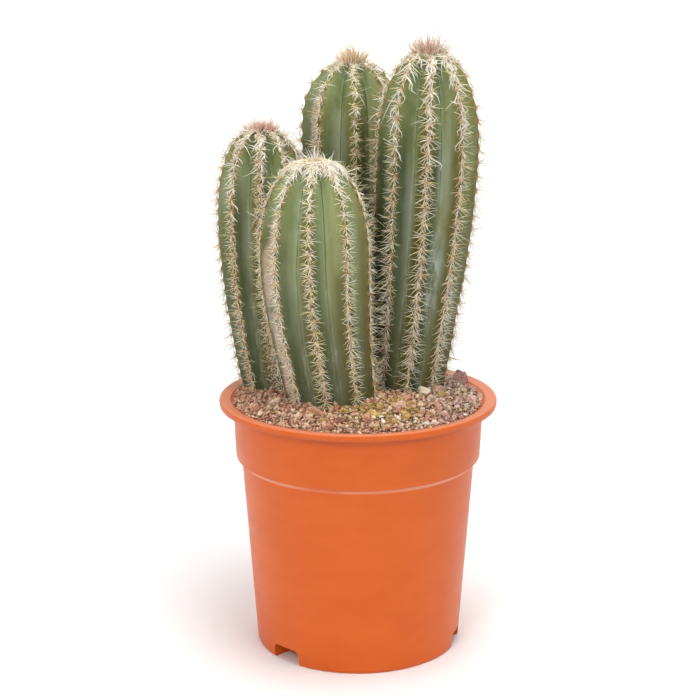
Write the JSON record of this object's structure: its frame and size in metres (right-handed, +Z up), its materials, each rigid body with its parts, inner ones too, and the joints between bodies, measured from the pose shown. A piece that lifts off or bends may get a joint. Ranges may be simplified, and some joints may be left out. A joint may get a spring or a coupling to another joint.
{
  "type": "potted cactus",
  "caption": "Upright ribbed columnar cactus stems with star-shaped spine clusters and woolly crowns, clumped in gritty soil in a round tapered plastic nursery pot with a flat rim",
  "frame": {"origin": "middle of the pot's flat underside, on the surface that the pot stands on", "axes": "+Z is up, along the pot's axis; -Y is the side that the picture shows; +X is to the viewer's right"},
  "size_m": [0.1781, 0.1797, 0.38],
  "materials": {
    "terracotta_plastic": "satin",
    "pumice_grit": "matte",
    "stem_skin": "satin"
  },
  "bodies": {
    "root": {"pot": "terracotta_plastic", "soil": "pumice_grit", "stem_front": "stem_skin", "stem_left": "stem_skin", "stem_right": "stem_skin", "stem_back": "stem_skin"}
  },
  "joints": []
}
